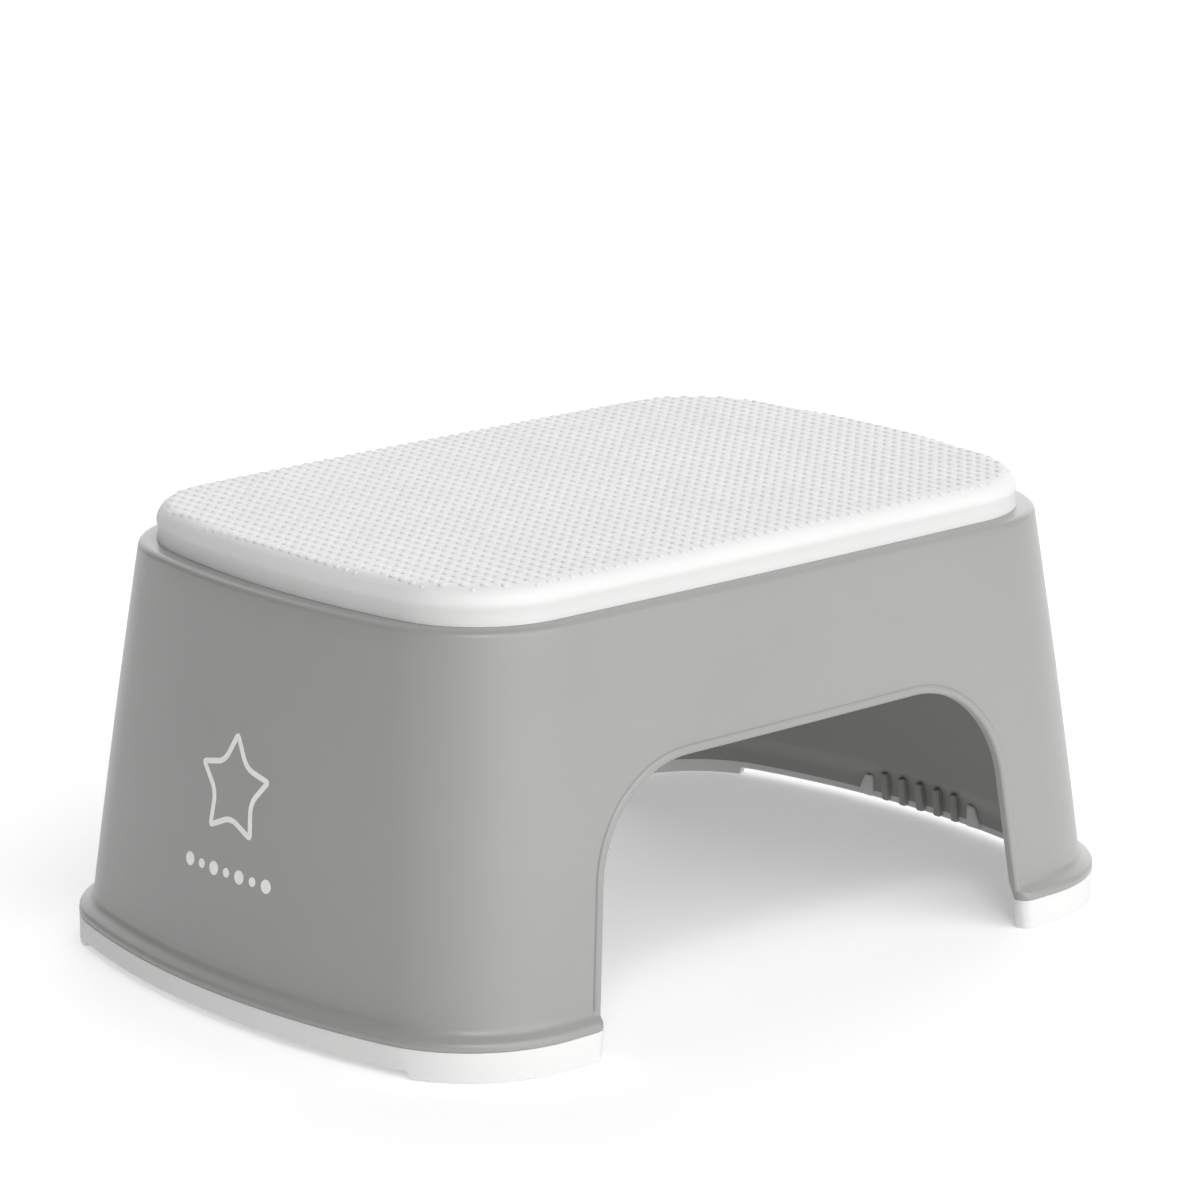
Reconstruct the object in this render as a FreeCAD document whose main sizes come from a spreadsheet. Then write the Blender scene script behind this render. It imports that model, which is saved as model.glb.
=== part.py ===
import FreeCAD, Part
import Sketcher
import math
import os
from FreeCAD import Vector

# A toddler's step stool, in millimetres.  +Z is up, the floor is Z = 0, the long side runs along X and
# the origin is under the middle of the stool.  One rigid shell carries a soft tread mat and two soft
# strips that it stands on.

SIZES = {
    # overall
    "total_height": 165.0,
    # outline of the base, where skirt and strips end
    "base_half_length": 181.0,
    "base_half_width": 124.5,
    "base_end_radius": 335.0,
    "base_corner_radius": 52.5,
    "base_side_radius": 20000.0,
    # outline of the tread mat
    "mat_half_length": 151.0,
    "mat_half_width": 100.0,
    "mat_end_radius": 347.0,
    "mat_corner_radius": 41.5,
    "mat_side_radius": 5700.0,
    "mat_skin": 2.6,
    "mat_edge_radius": 6.5,
    # levels of the shell
    "ledge_level": 151.4,
    "ledge_width": 6.5,
    "ledge_edge_radius": 2.2,
    "wall_thick": 2.6,
    "wall_foot_level": 15.2,
    "wall_foot_inset": 5.0,
    "skirt_level": 11.2,
    "skirt_edge_radius": 2.0,
    "skirt_root_radius": 2.6,
    "rim_level": 5.4,
    "rim_outer_inset": 3.0,
    "rim_inner_inset": 5.6,
    "flare_level": 12.0,
    # arches through both long sides
    "arch_top_level": 97.2,
    "arch_corner_radius": 42.5,
    "arch_corner_reach": 55.5,
    "arch_foot_half_width": 104.4,
    "lip_width": 3.4,
    "lip_proud": 1.0,
    "corner_round": 4.4,
    "corner_start": 103.1,
    "corner_clear": 3.0,
    "corner_height": 6.4,
    # strips
    "foot_lift": 2.8,
    "foot_start": 94.0,
    "wing_level": 12.0,
    "wing_inset": 8.2,
    "wing_from": 26.5,
    "wing_width": 8.0,
    # finger ribs inside each end
    "grip_count": 5.0,
    "grip_pitch": 9.6,
    "grip_rib_thick": 3.4,
    "grip_rib_inset": 7.8,
    "grip_root_inset": 4.6,
    "grip_rib_height": 11.2,
    # ribs under the tread
    "tread_rib_thick": 2.0,
    "tread_rib_depth": 9.0,
    "tread_rib_pitch_x": 46.0,
    "tread_rib_pitch_y": 44.0,
    "tread_rib_count_x": 5.0,
    "tread_rib_count_y": 3.0,
    "tread_rib_overlap": 0.8,
    # how far a tool body reaches past what it cuts
    "tool_reach": 210.0,
}

doc = FreeCAD.newDocument("StepStool")
sheet = doc.addObject("Spreadsheet::Sheet", "Sizes")
for row, (alias, number) in enumerate(SIZES.items(), start=1):
    sheet.set("A%d" % row, alias.replace("_", " "))
    sheet.set("B%d" % row, str(number))
    sheet.setAlias("B%d" % row, alias)
doc.recompute()


def amount(words):
    """The value of a sum such as 'mat_skin + wall_thick', read from the sheet."""
    total, sign = 0.0, 1
    for word in words.split():
        if word in "+-":
            sign = 1 if word == "+" else -1
        else:
            total += sign * float(sheet.get(word))
    return total


def formula(words):
    """The same sum as an expression on the sheet's cells."""
    return " ".join(word if word in "+-" else "Sizes." + word for word in words.split())


def bind(thing, path, words):
    thing.setExpression(path, formula(words))


def new_body(label):
    body = doc.addObject("PartDesign::Body", label)
    body.Label = label
    body.AllowCompound = True
    return body


def new_sketch(body, name, plane, level=None):
    """A sketch on one of the body's own origin planes, lifted to a level given as a sum of sizes."""
    sketch = body.newObject("Sketcher::SketchObject", name)
    origin = [item for item in body.Origin.OriginFeatures if item.Role == plane][0]
    sketch.AttachmentSupport = (origin, "")
    sketch.MapMode = "FlatFace"
    if level:
        bind(sketch, "AttachmentOffset.Base.z", level)
    return sketch


def dimension(sketch, kind, where, words):
    """One driving dimension, bound to the sheet."""
    index = sketch.addConstraint(Sketcher.Constraint(kind, *where, amount(words)))
    sketch.setExpression("Constraints[%d]" % index, formula(words))


def relation(sketch, kind, *where):
    sketch.addConstraint(Sketcher.Constraint(kind, *where))


def arc(centre_x, centre_y, radius, start, end):
    circle = Part.Circle(Vector(centre_x, centre_y, 0), Vector(0, 0, 1), radius)
    return Part.ArcOfCircle(circle, start, end)


# How a sketch names its origin, the points of an edge and its two axes.
ORIGIN = (-1, 1)
START, END, CENTRE = 1, 2, 3
X_AXIS, Y_AXIS = -1, -2
# How near two lengths are to count as the same, in millimetres.
SAME = 0.01


def add_outline(sketch, family, change=""):
    """A closed rounded oblong of eight tangent arcs: bowed ends, faintly bowed sides and four corners.

    family is 'base' or 'mat', and change grows or shrinks the outline evenly, such as '- mat_skin'."""
    length_words = family + "_half_length " + change
    width_words = family + "_half_width " + change
    end_words = family + "_end_radius " + change
    corner_words = family + "_corner_radius " + change
    side_words = family + "_side_radius " + change
    end_radius, corner, side_radius = amount(end_words), amount(corner_words), amount(side_words)
    end_x = amount(length_words) - end_radius
    side_y = amount(width_words) - side_radius
    # The corner arc touches the end and side arcs from inside, so its centre lies on a circle about each.
    span = math.hypot(end_x, side_y)
    along = ((end_radius - corner) ** 2 - (side_radius - corner) ** 2 + span ** 2) / (2 * span)
    across = math.sqrt((end_radius - corner) ** 2 - along ** 2)
    unit_x, unit_y = -end_x / span, side_y / span
    corner_x = end_x + unit_x * along - unit_y * across
    corner_y = unit_y * along + unit_x * across
    end_turn = math.atan2(corner_y, corner_x - end_x)
    side_turn = math.atan2(corner_y - side_y, corner_x)
    half = math.pi
    first = sketch.GeometryCount
    sketch.addGeometry([
        arc(end_x, 0, end_radius, -end_turn, end_turn),
        arc(corner_x, corner_y, corner, end_turn, side_turn),
        arc(0, side_y, side_radius, side_turn, half - side_turn),
        arc(-corner_x, corner_y, corner, half - side_turn, half - end_turn),
        arc(-end_x, 0, end_radius, half - end_turn, half + end_turn),
        arc(-corner_x, -corner_y, corner, half + end_turn, half + side_turn),
        arc(0, -side_y, side_radius, half + side_turn, 2 * half - side_turn),
        arc(corner_x, -corner_y, corner, 2 * half - side_turn, 2 * half - end_turn),
    ])
    right, back, left, front = first, first + 2, first + 4, first + 6
    corners = [first + 1, first + 3, first + 5, first + 7]
    for step in range(8):
        relation(sketch, "Tangent", first + step, END, first + (step + 1) % 8, START)
    relation(sketch, "PointOnObject", right, CENTRE, X_AXIS)
    relation(sketch, "PointOnObject", left, CENTRE, X_AXIS)
    relation(sketch, "PointOnObject", back, CENTRE, Y_AXIS)
    relation(sketch, "PointOnObject", front, CENTRE, Y_AXIS)
    relation(sketch, "Equal", right, left)
    relation(sketch, "Equal", back, front)
    for other in corners[1:]:
        relation(sketch, "Equal", corners[0], other)
    dimension(sketch, "Radius", (right,), end_words)
    dimension(sketch, "Radius", (corners[0],), corner_words)
    dimension(sketch, "Radius", (back,), side_words)
    end_reach = family + "_end_radius - " + family + "_half_length"
    side_reach = family + "_side_radius - " + family + "_half_width"
    dimension(sketch, "DistanceX", (right, CENTRE, *ORIGIN), end_reach)
    dimension(sketch, "DistanceX", (*ORIGIN, left, CENTRE), end_reach)
    dimension(sketch, "DistanceY", (back, CENTRE, *ORIGIN), side_reach)
    dimension(sketch, "DistanceY", (*ORIGIN, front, CENTRE), side_reach)


def outline_sketch(body, name, level, family, *changes):
    sketch = new_sketch(body, name, "XY_Plane", level)
    for change in changes:
        add_outline(sketch, family, change)
    return sketch


def pad(body, name, sketch, length):
    feature = body.newObject("PartDesign::Pad", name)
    feature.Profile = sketch
    bind(feature, "Length", length)
    doc.recompute()
    return feature


def pocket_up(body, name, sketch, length):
    """A pocket that cuts upwards from its sketch."""
    feature = body.newObject("PartDesign::Pocket", name)
    feature.Profile = sketch
    feature.Reversed = True
    bind(feature, "Length", length)
    doc.recompute()
    return feature


def pocket_across(body, name, sketch):
    """A pocket through everything, both ways from its upright sketch."""
    feature = body.newObject("PartDesign::Pocket", name)
    feature.Profile = sketch
    feature.Midplane = True
    feature.Type = "ThroughAll"
    doc.recompute()
    return feature


def loft(body, kind, name, lower, upper):
    feature = body.newObject("PartDesign::" + kind, name)
    feature.Profile = lower
    feature.Sections = [upper]
    feature.Ruled = True
    doc.recompute()
    return feature


def fillet(body, name, radius, chosen):
    """Round the edges of the body so far for which chosen(edge) is true."""
    base = body.Tip
    edges = ["Edge%d" % n for n, edge in enumerate(base.Shape.Edges, start=1) if chosen(edge)]
    feature = body.newObject("PartDesign::Fillet", name)
    feature.Base = (base, edges)
    bind(feature, "Radius", radius)
    doc.recompute()
    return feature


def on_level(edge, level):
    box = edge.BoundBox
    return abs(box.ZMin - level) < SAME and abs(box.ZMax - level) < SAME


def is_outline(edge, family, change):
    """True for the edges of one rounded outline, told by the radius that each of its arcs has."""
    kinds = ("_end_radius ", "_corner_radius ", "_side_radius ")
    radii = [amount(family + kind + change) for kind in kinds]
    return hasattr(edge.Curve, "Radius") and any(abs(edge.Curve.Radius - radius) < SAME for radius in radii)


def add_arch(sketch, grow=""):
    """The arch's opening: leaning legs, two large corners and a flat top, closed along the floor."""
    top = "arch_top_level " + grow
    radius_words = "arch_corner_radius " + grow
    foot_words = "arch_foot_half_width " + grow
    radius, foot = amount(radius_words), amount(foot_words)
    centre_x = amount("arch_corner_reach")
    centre_z = amount(top) - radius
    # The leg is the tangent from its foot to the corner's circle.
    away = math.hypot(foot - centre_x, centre_z)
    rise = math.atan2(centre_z, centre_x - foot) - math.asin(radius / away)
    turn = rise - math.pi / 2
    touch = Vector(centre_x + radius * math.cos(turn), centre_z + radius * math.sin(turn), 0)
    crown = Vector(centre_x, centre_z + radius, 0)
    mirrored = [Vector(-point.x, point.y, 0) for point in (touch, crown)]
    floor_right, floor_left = Vector(foot, 0, 0), Vector(-foot, 0, 0)
    first = sketch.GeometryCount
    sketch.addGeometry([
        Part.LineSegment(floor_right, touch),
        arc(centre_x, centre_z, radius, turn, math.pi / 2),
        Part.LineSegment(crown, mirrored[1]),
        arc(-centre_x, centre_z, radius, math.pi / 2, math.pi - turn),
        Part.LineSegment(mirrored[0], floor_left),
        Part.LineSegment(floor_left, floor_right),
    ])
    leg, bend, flat, far_bend, far_leg, floor = range(first, first + 6)
    for one, two in ((leg, bend), (bend, flat), (flat, far_bend), (far_bend, far_leg)):
        relation(sketch, "Tangent", one, END, two, START)
    relation(sketch, "Coincident", far_leg, END, floor, START)
    relation(sketch, "Coincident", floor, END, leg, START)
    relation(sketch, "PointOnObject", leg, START, X_AXIS)
    relation(sketch, "PointOnObject", far_leg, END, X_AXIS)
    relation(sketch, "Horizontal", flat)
    relation(sketch, "Equal", bend, far_bend)
    dimension(sketch, "Radius", (bend,), radius_words)
    dimension(sketch, "DistanceX", (*ORIGIN, leg, START), foot_words)
    dimension(sketch, "DistanceX", (far_leg, END, *ORIGIN), foot_words)
    dimension(sketch, "DistanceX", (*ORIGIN, bend, CENTRE), "arch_corner_reach")
    dimension(sketch, "DistanceX", (far_bend, CENTRE, *ORIGIN), "arch_corner_reach")
    dimension(sketch, "DistanceY", (*ORIGIN, flat, START), top)


def add_rectangle(sketch, low_x, low_y, high_x, high_y):
    """A rectangle that still needs its dimensions.  Side 0 is the low Y one and side 1 the high X one."""
    corners = ((low_x, low_y), (high_x, low_y), (high_x, high_y), (low_x, high_y))
    points = [Vector(x, y, 0) for x, y in corners]
    first = sketch.GeometryCount
    sketch.addGeometry([Part.LineSegment(points[n], points[(n + 1) % 4]) for n in range(4)])
    for step in range(4):
        relation(sketch, "Coincident", first + step, END, first + (step + 1) % 4, START)
        relation(sketch, "Horizontal" if step % 2 == 0 else "Vertical", first + step)


def span_from_origin(value, place):
    """The two points of a positive distance between the origin and a place on either side of it."""
    return (*ORIGIN, *place) if value >= 0 else (*place, *ORIGIN)


def add_corner_relief(sketch, side_x, side_y):
    """What rounds, in plan, a corner of the skirt or strip at an arch: a square less a quarter round."""
    along, across_to = "corner_start + corner_round", "base_half_width - corner_round"
    radius, clear = amount("corner_round"), amount("corner_clear")
    centre = Vector(side_x * amount(along), side_y * amount(across_to), 0)
    inner = centre - Vector(side_x * radius, 0, 0)
    outer = centre + Vector(0, side_y * radius, 0)
    over = outer + Vector(0, side_y * clear, 0)
    back = inner - Vector(side_x * clear, 0, 0)
    corner = Vector(back.x, over.y, 0)
    turn = math.pi / 2
    first_turn = {(1, 1): 1, (-1, 1): 0, (-1, -1): -1, (1, -1): 2}[side_x, side_y]
    first = sketch.GeometryCount
    sketch.addGeometry([
        arc(centre.x, centre.y, radius, first_turn * turn, (first_turn + 1) * turn),
        Part.LineSegment(outer, over),
        Part.LineSegment(over, corner),
        Part.LineSegment(corner, back),
        Part.LineSegment(back, inner),
    ])
    round_, up, across, down, home = range(first, first + 5)
    outer_end, inner_end = (START, END) if side_x * side_y > 0 else (END, START)
    relation(sketch, "Coincident", round_, outer_end, up, START)
    relation(sketch, "Coincident", home, END, round_, inner_end)
    for one, two in ((up, across), (across, down), (down, home)):
        relation(sketch, "Coincident", one, END, two, START)
    for upright, level in ((up, across), (down, home)):
        relation(sketch, "Vertical", upright)
        relation(sketch, "Horizontal", level)
    relation(sketch, "Vertical", round_, CENTRE, round_, outer_end)
    relation(sketch, "Horizontal", round_, CENTRE, round_, inner_end)
    dimension(sketch, "Radius", (round_,), "corner_round")
    dimension(sketch, "DistanceX", span_from_origin(side_x, (round_, CENTRE)), along)
    dimension(sketch, "DistanceY", span_from_origin(side_y, (round_, CENTRE)), across_to)
    rising = (up, START, up, END) if side_y > 0 else (up, END, up, START)
    outward = (home, START, home, END) if side_x > 0 else (home, END, home, START)
    dimension(sketch, "DistanceY", rising, "corner_clear")
    dimension(sketch, "DistanceX", outward, "corner_clear")


def round_corners(body, name, level, height, sides):
    """Round, in plan, the corners that a skirt or strip has at the arches."""
    relief = new_sketch(body, name + "_outline", "XY_Plane", level)
    for side_x in sides:
        for side_y in (-1, 1):
            add_corner_relief(relief, side_x, side_y)
    pocket_up(body, name, relief, height)


def make_hollow(body):
    """The hollow of the walls: straight inside the rim, flaring in to the wall, then up to the tread."""
    mouth = outline_sketch(body, "mouth_outline", "rim_level", "base", "- rim_inner_inset")
    pocket_up(body, "mouth", mouth, "flare_level - rim_level")
    flare_foot = outline_sketch(body, "flare_foot", "flare_level", "base", "- rim_inner_inset")
    foot_inset = "- wall_foot_inset - wall_thick"
    flare_top = outline_sketch(body, "flare_top", "wall_foot_level", "base", foot_inset)
    loft(body, "SubtractiveLoft", "flare", flare_foot, flare_top)
    inner_foot = outline_sketch(body, "inner_foot", "wall_foot_level", "base", foot_inset)
    top_level, top_growth = "ledge_level - wall_thick", "+ ledge_width - wall_thick"
    inner_top = outline_sketch(body, "inner_top", top_level, "mat", top_growth)
    loft(body, "SubtractiveLoft", "inside", inner_foot, inner_top)


def make_grip_ribs(body, side):
    """A row of upright finger ribs in the hollow of the skirt, in the middle of one end."""
    end = "left" if side < 0 else "right"
    sketch = new_sketch(body, "grip_rib_" + end, "XY_Plane", "rim_level")
    tip = amount("base_half_length - grip_rib_inset")
    root = amount("base_half_length - grip_root_inset")
    thick, pitch, count = amount("grip_rib_thick"), amount("grip_pitch"), amount("grip_count")
    start = -(pitch * (count - 1) + thick) / 2
    low_x, high_x = min(side * tip, side * root), max(side * tip, side * root)
    low_words, high_words = "grip_rib_inset", "grip_root_inset"
    if side < 0:
        low_words, high_words = high_words, low_words
    add_rectangle(sketch, low_x, start, high_x, start + thick)
    dimension(sketch, "DistanceX", span_from_origin(low_x, (0, START)), "base_half_length - " + low_words)
    dimension(sketch, "DistanceX", span_from_origin(high_x, (1, START)), "base_half_length - " + high_words)
    dimension(sketch, "DistanceY", (1, START, 1, END), "grip_rib_thick")
    row_length = "Sizes.grip_pitch * (Sizes.grip_count - 1)"
    low_y = sketch.addConstraint(Sketcher.Constraint("DistanceY", 0, START, *ORIGIN, -start))
    sketch.setExpression("Constraints[%d]" % low_y, "(%s + Sizes.grip_rib_thick) / 2" % row_length)
    rib = pad(body, "grip_rib_pad_" + end, sketch, "grip_rib_height")
    row = body.newObject("PartDesign::LinearPattern", "grip_row_" + end)
    row.Originals = [rib]
    row.Direction = (sketch, ["V_Axis"])
    row.setExpression("Length", row_length)
    row.setExpression("Occurrences", "Sizes.grip_count")
    body.Tip = row
    doc.recompute()


def make_shell():
    """The rigid shell without the arch lips: walls, skirt, plateau and hollow, open below."""
    body = new_body("shell")
    foot = outline_sketch(body, "wall_foot", "wall_foot_level", "base", "- wall_foot_inset")
    shoulder = outline_sketch(body, "shoulder", "ledge_level", "mat", "+ ledge_width")
    loft(body, "AdditiveLoft", "walls", foot, shoulder)
    skirt = outline_sketch(body, "skirt_outline", "skirt_level", "base", "")
    pad(body, "skirt", skirt, "wall_foot_level - skirt_level")
    rim = outline_sketch(body, "rim_outline", "rim_level", "base", "- rim_outer_inset")
    pad(body, "rim", rim, "skirt_level - rim_level")
    foot_level, ledge = amount("wall_foot_level"), amount("ledge_level")
    mat_seat = amount("total_height - mat_skin")
    fillet(body, "ledge_edge", "ledge_edge_radius", lambda edge: on_level(edge, ledge))
    fillet(body, "skirt_edge", "skirt_edge_radius",
           lambda edge: on_level(edge, foot_level) and is_outline(edge, "base", ""))
    fillet(body, "skirt_root", "skirt_root_radius",
           lambda edge: on_level(edge, foot_level) and is_outline(edge, "base", "- wall_foot_inset"))
    plateau = outline_sketch(body, "plateau_outline", "ledge_level", "mat", "- mat_skin")
    pad(body, "plateau", plateau, "total_height - mat_skin - ledge_level")
    fillet(body, "plateau_edge", "mat_edge_radius - mat_skin", lambda edge: on_level(edge, mat_seat))
    make_hollow(body)
    crown_inset = "- mat_skin - wall_thick"
    crown = outline_sketch(body, "crown_outline", "ledge_level - wall_thick", "mat", crown_inset)
    pocket_up(body, "crown", crown, "total_height - mat_skin - ledge_level")
    arch = new_sketch(body, "arch_opening", "XZ_Plane")
    add_arch(arch)
    pocket_across(body, "arch", arch)
    round_corners(body, "skirt_corners", "skirt_level", "corner_height", (-1, 1))
    for side in (-1, 1):
        make_grip_ribs(body, side)
    return body


def make_lips():
    """The rolled lip round each arch: a band of the wall that stands a little proud of it."""
    body = new_body("arch_lips")
    for name, kind, sign in (("lip_outside", "AdditiveLoft", "+"), ("lip_inside", "SubtractiveLoft", "-")):
        proud = " %s lip_proud" % sign
        foot = outline_sketch(body, name + "_foot", "wall_foot_level", "base", "- wall_foot_inset" + proud)
        shoulder = outline_sketch(body, name + "_shoulder", "ledge_level", "mat", "+ ledge_width" + proud)
        loft(body, kind, name, foot, shoulder)
    opening = new_sketch(body, "lip_opening", "XZ_Plane")
    add_arch(opening)
    pocket_across(body, "lip_arch", opening)
    around = new_sketch(body, "lip_band", "XZ_Plane")
    far = amount("tool_reach")
    add_rectangle(around, -far, -far, far, far)
    for side, axis in ((0, "DistanceY"), (1, "DistanceX"), (2, "DistanceY"), (3, "DistanceX")):
        sign = -1 if side in (0, 3) else 1
        dimension(around, axis, span_from_origin(sign, (side, START)), "tool_reach")
    add_arch(around, "+ lip_width")
    pocket_across(body, "lip_trim", around)
    return body


def make_tread_ribs():
    """The stiffening grid under the tread, trimmed to the plateau's inside."""
    field = new_body("tread_rib_field")
    rib_foot = "total_height - mat_skin - wall_thick - tread_rib_depth"
    rib_reach = "- mat_skin - wall_thick + tread_rib_overlap"
    outline = outline_sketch(field, "field_outline", rib_foot, "mat", rib_reach)
    pad(field, "field", outline, "tread_rib_depth + tread_rib_overlap")
    ribs = []
    for along, across, axis, other in (("Length", "Width", "y", "x"), ("Width", "Length", "x", "y")):
        count = "tread_rib_count_" + axis
        pitch = "Sizes.tread_rib_pitch_" + axis
        for n in range(int(amount(count))):
            rib = doc.addObject("Part::Box", "tread_rib_%s_%d" % (axis, n + 1))
            rib.setExpression(along, "2 * Sizes.tool_reach")
            bind(rib, across, "tread_rib_thick")
            bind(rib, "Height", "tread_rib_depth + tread_rib_overlap")
            rib.setExpression("Placement.Base." + other, "-Sizes.tool_reach")
            place = "%s * (%d - (Sizes.%s - 1) / 2) - Sizes.tread_rib_thick / 2" % (pitch, n, count)
            rib.setExpression("Placement.Base." + axis, place)
            bind(rib, "Placement.Base.z", rib_foot)
            ribs.append(rib)
    grid = doc.addObject("Part::MultiFuse", "tread_rib_grid")
    grid.Shapes = ribs
    trimmed = doc.addObject("Part::Common", "tread_ribs")
    trimmed.Base, trimmed.Tool = grid, field
    doc.recompute()
    return trimmed


def make_stool_body():
    whole = doc.addObject("Part::MultiFuse", "stool_body")
    whole.Label = "stool_body"
    whole.Shapes = [make_shell(), make_lips(), make_tread_ribs()]
    whole.Refine = True
    doc.recompute()
    return whole


def make_tread_mat():
    """The soft cap on the plateau: an even skin over its top and down its sides to the ledge."""
    body = new_body("tread_mat")
    outline = outline_sketch(body, "mat_outline", "ledge_level", "mat", "")
    pad(body, "mat_block", outline, "total_height - ledge_level")
    top = amount("total_height")
    fillet(body, "mat_edge", "mat_edge_radius", lambda edge: on_level(edge, top))
    inside = outline_sketch(body, "mat_inside", "ledge_level", "mat", "- mat_skin")
    pocket_up(body, "mat_hollow", inside, "total_height - mat_skin - ledge_level")
    seat = amount("total_height - mat_skin")
    fillet(body, "mat_inside_edge", "mat_edge_radius - mat_skin", lambda edge: on_level(edge, seat))
    return body


def make_strip(label, side):
    """One end's soft strip: an angle round the rim, feet by the arches, a wing each side of the ribs."""
    body = new_body(label)
    wings = outline_sketch(body, "wing_ring", "foot_lift", "base", "- rim_inner_inset", "- wing_inset")
    pad(body, "wings", wings, "wing_level - foot_lift")
    trim = new_sketch(body, "wing_trim", "XY_Plane")
    far, near = amount("tool_reach"), amount("wing_from")
    outer_words = "wing_from + wing_width"
    outer = amount(outer_words)
    gaps = (
        (-far, -outer, "tool_reach", outer_words),
        (-near, near, "wing_from", "wing_from"),
        (outer, far, outer_words, "tool_reach"),
    )
    for n, (low, high, low_words, high_words) in enumerate(gaps):
        add_rectangle(trim, -far, low, far, high)
        dimension(trim, "DistanceX", span_from_origin(-1, (4 * n + 3, START)), "tool_reach")
        dimension(trim, "DistanceX", span_from_origin(1, (4 * n + 1, START)), "tool_reach")
        dimension(trim, "DistanceY", span_from_origin(low, (4 * n, START)), low_words)
        dimension(trim, "DistanceY", span_from_origin(high, (4 * n + 2, START)), high_words)
    pocket_up(body, "wing_gaps", trim, "total_height")
    ring = outline_sketch(body, "strip_ring", None, "base", "", "- rim_inner_inset")
    pad(body, "strip", ring, "skirt_level")
    seat = outline_sketch(body, "rim_seat", "rim_level", "base", "- rim_outer_inset", "- rim_inner_inset")
    pocket_up(body, "seat", seat, "skirt_level - rim_level")
    far_half = new_sketch(body, "far_half_outline", "XY_Plane")
    low_x, high_x = (0, far) if side < 0 else (-far, 0)
    add_rectangle(far_half, low_x, -far, high_x, far)
    relation(far_half, "PointOnObject", 3 if side < 0 else 1, START, Y_AXIS)
    free_side = 1 if side < 0 else 3
    dimension(far_half, "DistanceX", span_from_origin(-side, (free_side, START)), "tool_reach")
    dimension(far_half, "DistanceY", span_from_origin(-1, (0, START)), "tool_reach")
    dimension(far_half, "DistanceY", span_from_origin(1, (2, START)), "tool_reach")
    pocket_up(body, "far_half", far_half, "total_height")
    opening = new_sketch(body, "strip_opening", "XZ_Plane")
    add_arch(opening)
    pocket_across(body, "strip_ends", opening)
    round_corners(body, "strip_corners", None, "skirt_level", (side,))
    lift = new_sketch(body, "lift_outline", "XY_Plane")
    start = amount("foot_start")
    add_rectangle(lift, -far, -start, far, start)
    dimension(lift, "DistanceX", span_from_origin(-1, (3, START)), "tool_reach")
    dimension(lift, "DistanceX", span_from_origin(1, (1, START)), "tool_reach")
    dimension(lift, "DistanceY", span_from_origin(-1, (0, START)), "foot_start")
    dimension(lift, "DistanceY", span_from_origin(1, (2, START)), "foot_start")
    pocket_up(body, "lift", lift, "foot_lift")
    return body


def check_and_write(parts):
    """Stop on any failed object or bad shape, then write each piece to its STEP file."""
    for item in doc.Objects:
        if "Invalid" in item.State or "Error" in item.State:
            raise RuntimeError("%s failed: %s" % (item.Label, item.State))
    for part in parts:
        if part.Shape.isNull() or not part.Shape.isValid():
            raise RuntimeError("%s has a bad shape" % part.Label)
    os.makedirs("parts", exist_ok=True)
    for part in parts:
        part.Shape.exportStep("parts/%s.step" % part.Label)
        box = part.Shape.optimalBoundingBox()
        corners = (box.XMin, box.YMin, box.ZMin, box.XMax, box.YMax, box.ZMax)
        print(part.Label, len(part.Shape.Solids), "solid,", round(part.Shape.Volume / 1000, 1), "cm3,",
              [round(value, 1) for value in corners])


check_and_write([
    make_stool_body(),
    make_tread_mat(),
    make_strip("base_strip_left", -1),
    make_strip("base_strip_right", 1),
])
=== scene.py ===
import functools
import math
from collections import namedtuple

import bmesh
import bpy
from mathutils import Matrix, Vector


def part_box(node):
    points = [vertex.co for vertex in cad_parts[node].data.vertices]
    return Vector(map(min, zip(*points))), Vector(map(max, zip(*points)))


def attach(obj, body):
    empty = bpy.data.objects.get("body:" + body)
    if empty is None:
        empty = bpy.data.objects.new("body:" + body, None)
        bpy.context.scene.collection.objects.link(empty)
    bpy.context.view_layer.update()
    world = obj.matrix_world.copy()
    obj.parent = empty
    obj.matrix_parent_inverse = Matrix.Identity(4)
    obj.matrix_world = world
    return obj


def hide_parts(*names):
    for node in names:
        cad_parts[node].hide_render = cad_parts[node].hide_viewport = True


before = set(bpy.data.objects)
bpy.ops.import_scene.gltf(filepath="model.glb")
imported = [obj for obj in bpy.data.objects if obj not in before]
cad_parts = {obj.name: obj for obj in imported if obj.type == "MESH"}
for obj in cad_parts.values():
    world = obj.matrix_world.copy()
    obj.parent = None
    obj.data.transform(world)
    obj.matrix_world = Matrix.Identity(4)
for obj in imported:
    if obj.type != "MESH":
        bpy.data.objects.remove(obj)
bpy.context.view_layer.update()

# A toddler's step stool, in metres: a leaning rigid shell with an arch in each long side, a soft tread
# mat over its top and a soft strip round each end that it stands on.  Every shape is worked out from
# two rounded outlines, one at the base and one of the mat, and from the levels between them.

MM = 0.001
SHELL_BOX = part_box("stool_body")
MAT_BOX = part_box("tread_mat")

# half the length and half the width of a rounded outline, then the radii of its arcs at the end, the corner
# and the long side
Oblong = namedtuple("Oblong", "length width end corner side")
BASE = Oblong(SHELL_BOX[1].x, 124.5 * MM, 335 * MM, 52.5 * MM, 20.0)
MAT = Oblong(MAT_BOX[1].x, MAT_BOX[1].y, 347 * MM, 41.5 * MM, 5.7)

WALL_THICK = 2.6 * MM
WALL_BULGE = 0.45 * MM
FOOT_LEVEL = 15.2 * MM
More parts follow.
